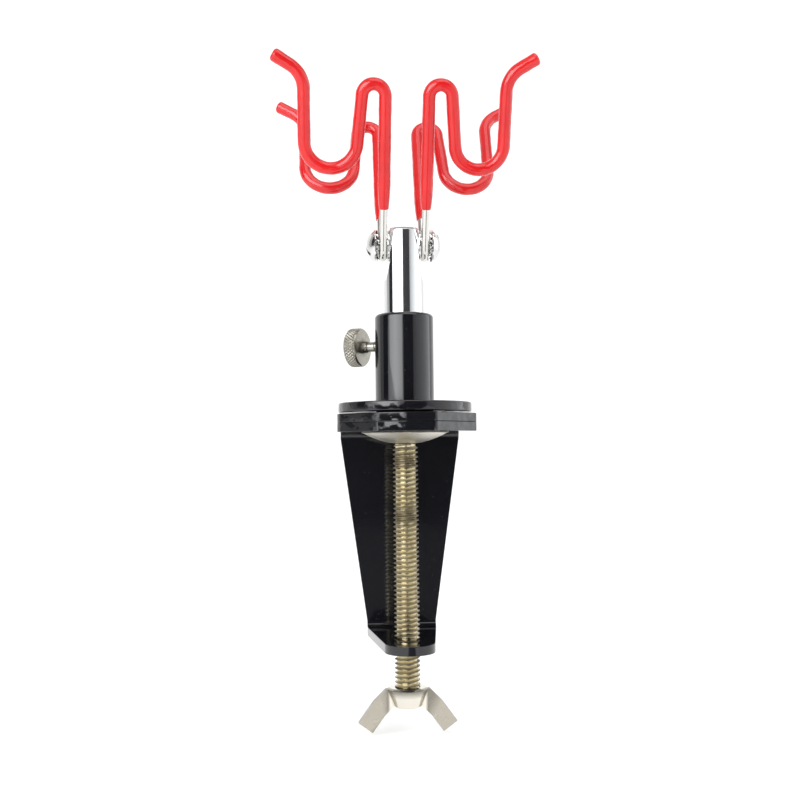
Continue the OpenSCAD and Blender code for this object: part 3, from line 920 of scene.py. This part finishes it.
def sleeve(side, end):
    """The dipped coating of one arm: thin at its lower end, slightly uneven
    along its length, and swollen where the drip set at the lip's tip."""
    name = "_".join((SIDE_NAMES[side], END_NAMES[end], "sleeve"))
    line = arm_line(side, 0.4)
    along = lengths(line)
    total = along[-1]
    thin_l, swell, cap = 7.0, 0.12, 1.0
    phase = 1.3 * side + 2.1 * end
    points, radii = [], []
    for p, s in zip(line, along):
        if s < BARE_L or s > total - cap:
            continue
        up = min(1.0, (s - BARE_L) / thin_l)
        r = COAT_END_R + (COAT_R - COAT_END_R) * (1 - (1 - up) ** 1.6)
        r += up * (0.03 * math.sin(0.55 * s + phase) + 0.018 * math.sin(1.7 * s + 2 * phase))
        r += swell * max(0.0, 1 - (total - s) / 5.0) ** 2
        points.append(in_arm(side, end, p))
        radii.append(r)
    ahead = (points[-1] - points[-2]).normalized()
    tip, last = points[-1], radii[-1]
    for k in range(1, 9):
        a = math.pi / 2 * k / 8
        points.append(tip + ahead * cap * math.sin(a))
        radii.append(max(last * (0.45 + 0.55 * math.cos(a)), 0.05))
    points.append(points[-1] + ahead * 0.02)
    radii.append(0.05)
    start, behind = points[0], (points[1] - points[0]).normalized()
    rim = [(0.16, 0.9), (0.06, 0.965)]
    points = [start - behind * back for back, _ in rim] + points
    radii = [radii[0] * share for _, share in rim] + radii
    piece = mesh_piece(name + "_dipped", *sweep(points, radii, 40), sharp=40)
    finish_piece(piece, name, SIDE_NAMES[side] + "_hanger", RED)


# ---------------------------------------------------------------- clamp screw


def clamp_screw():
    low, high = span("clamp_screw")
    radius = high.x
    neck_r, rivet_r, rivet_h = 2.5, 3.8, 1.2
    dish_low = span("pressure_dish")[0].z
    shoulder = dish_low - 0.05
    helix = screw_thread(radius, CLAMP_DEPTH, CLAMP_PITCH, low.z, shoulder, 48)
    thread = mesh_piece("thread", *helix, sharp=50)
    root = radius - CLAMP_DEPTH
    end, core_r, ease, rivet_edge = 0.3, root + 0.02, 0.1, 0.4
    core = [
        (0, low.z),
        (root + ease, low.z),
        (core_r, low.z + end),
        (core_r, shoulder - end),
        (root + ease, shoulder),
        (neck_r, shoulder),
        (neck_r, high.z - rivet_h),
        (rivet_r, high.z - rivet_h),
        (rivet_r, high.z - rivet_edge),
        (rivet_r - rivet_edge, high.z),
        (0, high.z),
    ]
    rod = mesh_piece("rod", *lathe(core, 64))
    piece = joined("clamp_screw_threaded", thread, rod)
    finish_piece(piece, "clamp_screw", "screw", THREAD)


def wing_nut():
    piece = eased("wing_nut", 0.8, 28, 5)
    finish_piece(piece, "wing_nut", "screw", SATIN)


def pressure_dish():
    low, high = span("pressure_dish")
    r, h, wall = high.x, high.z - low.z, 1.1
    ball = (r * r + h * h) / (2 * h)
    bore, steps = 2.55, 22
    reach = math.asin(r / ball)
    start = math.asin(bore / ball)
    outside, inside = [], []
    for k in range(steps + 1):
        a = start + (reach - start) * k / steps
        outside.append((ball * math.sin(a), low.z + ball - ball * math.cos(a)))
        b = start * 1.1 + (reach - start * 1.1) * k / steps
        inside.append(((ball - wall) * math.sin(b), low.z + ball - (ball - wall) * math.cos(b)))
    outside[-1] = (r, high.z - 0.25)
    rim = [(r - 0.05, high.z - 0.08), (r - 0.25, high.z), (r - 0.8, high.z)]
    inside = [p for p in inside if p[0] < r - 1.0 and p[1] < high.z - 0.1]
    piece = mesh_piece("pressure_dish_pressed", *lathe(outside + rim + inside[::-1], 144))
    finish_piece(piece, "pressure_dish", "pad", DISH)


clamp_frame()
swivel_disc()
collar()
thumb_screw()
post()
for side in (LEFT, RIGHT):
    flat_washer(side)
    lock_washer(side)
    pivot_screw(side)
    hanger_wire(side)
    for end in (FRONT, REAR):
        sleeve(side, end)
clamp_screw()
wing_nut()
pressure_dish()

# ---------------------------------------------------------------- stage


# Lower edge of the left lamp and its flag, in metres: the collar sees the
# lamp, and the disc and plates below it don't
LAMP_FOOT = 0.053


def stage_material(name, colour, glow=0.0):
    """A matt stage surface with a faint mottle, so that it isn't one flat tone."""
    g = Graph(name)
    mottle = g.noise(60.0, 3.0)
    g.set(
        Base_Color=g.mix(mottle, colour, tuple(c * 0.985 for c in colour)),
        Roughness=0.85,
        Emission_Color=colour,
        Emission_Strength=glow,
    )
    return g.material


def sweep_backdrop():
    """A pale floor that curves up into a backdrop, as one sheet."""
    floor_z = cad_bounds[0].z - 0.0012
    half, front, back, bend, top = 3.0, -1.6, 1.3, 0.7, 2.4
    line = [(front, 0.0), (back - bend, 0.0)]
    steps = 24
    for k in range(1, steps + 1):
        a = math.pi / 2 * k / steps
        line.append((back - bend + bend * math.sin(a), bend - bend * math.cos(a)))
    line.append((back, top))
    verts = [(x, y, floor_z + z) for y, z in line for x in (-half, half)]
    faces = [[2 * k, 2 * k + 1, 2 * k + 3, 2 * k + 2] for k in range(len(line) - 1)]
    mesh = bpy.data.meshes.new("floor")
    mesh.from_pydata(verts, [], faces)
    for polygon in mesh.polygons:
        polygon.use_smooth = True
    floor = bpy.data.objects.new("floor", mesh)
    bpy.context.scene.collection.objects.link(floor)
    floor.data.materials.append(stage_material("pale_floor", (0.9, 0.9, 0.9), 0.4))


def only_in_reflections(name, corners, material):
    """A four-cornered sheet that only reflections see."""
    mesh = bpy.data.meshes.new(name)
    mesh.from_pydata([tuple(c) for c in corners], [], [[0, 1, 2, 3]])
    sheet = bpy.data.objects.new(name, mesh)
    bpy.context.scene.collection.objects.link(sheet)
    sheet.data.materials.append(material)
    sheet.visible_camera = False
    sheet.visible_shadow = False
    sheet.visible_diffuse = False


def card(name, low_azimuth, high_azimuth, distance, colour, glow=(0.0, 0.0, 0.0), foot=-0.8, top=0.8):
    """An upright card between two azimuths and two heights, for stripes in
    the reflections. Its glow is given at its left edge, middle and right edge."""
    a = math.radians((low_azimuth + high_azimuth) / 2)
    half = math.tan(math.radians(high_azimuth - low_azimuth) / 2) * distance
    at = Vector((math.sin(a) * distance, -math.cos(a) * distance, 0))
    across = Vector((math.cos(a), math.sin(a), 0))
    low, high = Vector((0, 0, foot)), Vector((0, 0, top))
    g = Graph(name)
    along = g.add("ShaderNodeVectorMath", operation="DOT_PRODUCT")
    along.inputs[1].default_value = across
    g.link(g.place, along.inputs[0])
    rise = g.remap(along.outputs["Value"], -half, 0, glow[0], glow[1])
    change = g.remap(along.outputs["Value"], 0, half, 0, glow[2] - glow[1])
    g.set(
        Base_Color=colour,
        Roughness=0.85,
        Emission_Color=(0.95, 0.98, 1.0),
        Emission_Strength=g.math("ADD", rise, change),
    )
    left, right = at - across * half, at + across * half
    only_in_reflections(name, (left + low, right + low, right + high, left + high), g.material)


def floor_flag():
    """A dark sheet on the floor in front, seen in the web's lower half."""
    z = cad_bounds[0].z - 0.0008
    near, far = -0.13, -0.95
    corners = [(-0.03, near, z), (0.05, near, z), (0.17, far, z), (-0.06, far, z)]
    only_in_reflections("floor_flag", corners, stage_material("floor_flag", (0.1, 0.1, 0.11)))


def area_light(name, azimuth, elevation, distance, width, height, power, tint=(1, 1, 1)):
    """A soft light that faces the object's middle."""
    a, e = math.radians(azimuth), math.radians(elevation)
    away = Vector((math.sin(a) * math.cos(e), -math.cos(a) * math.cos(e), math.sin(e)))
    data = bpy.data.lights.new(name, "AREA")
    data.shape = "RECTANGLE"
    data.size, data.size_y = width, height
    data.energy = power
    data.color = tint
    light = bpy.data.objects.new(name, data)
    bpy.context.scene.collection.objects.link(light)
    light.location = away * distance
    light.rotation_euler = away.to_track_quat("Z", "Y").to_euler()
    return light


def world():
    sky = bpy.data.worlds.new("soft_white_room")
    sky.use_nodes = True
    sky.node_tree.nodes["Background"].inputs["Color"].default_value = (1.0, 1.0, 1.0, 1)
    sky.node_tree.nodes["Background"].inputs["Strength"].default_value = 0.5
    bpy.context.scene.world = sky
    bpy.context.scene.view_settings.view_transform = "Standard"


def camera():
    """At the photographer's place: a little left of the front and level with
    the jaw, tilted slightly up, with a slight roll."""
    focal_share, azimuth, distance, eye_z = 1.375, -4.62, 0.3461, -0.0055
    aim_up, aim_left, roll = 2.57, 0.25, -0.57
    data = bpy.data.cameras.new("camera")
    data.sensor_width = 36.0
    data.lens = 36.0 * focal_share
    data.clip_start = 0.01
    a = math.radians(azimuth)
    eye = bpy.data.objects.new("camera", data)
    bpy.context.scene.collection.objects.link(eye)
    turn = (
        Matrix.Rotation(a + math.radians(aim_left), 4, "Z")
        @ Matrix.Rotation(math.radians(90 + aim_up), 4, "X")
        @ Matrix.Rotation(math.radians(roll), 4, "Z")
    )
    spot = Matrix.Translation((math.sin(a) * distance, -math.cos(a) * distance, eye_z))
    eye.matrix_world = spot @ turn
    bpy.context.scene.camera = eye


sweep_backdrop()
floor_flag()
card("left_flag", -94, -71, 0.9, (0.004, 0.004, 0.005), foot=LAMP_FOOT)
card("low_flag", -58, -7, 0.95, (0.02, 0.02, 0.022), top=LAMP_FOOT)
card("camera_flag", -8, 30, 0.9, (0.03, 0.03, 0.032))
card("left_glow", -72, -7, 1.0, (0.5, 0.5, 0.5), (1.0, 3.2, 0.6), foot=LAMP_FOOT)
card("right_glow", 27, 113, 1.0, (0.3, 0.3, 0.3), (0.05, 1.0, 2.4))
area_light("left_softbox", -38, 6, 1.0, 0.95, 1.3, 10, (0.97, 0.98, 1.0))
area_light("top_softbox", 25, 62, 1.1, 0.9, 0.9, 4)
world()
camera()
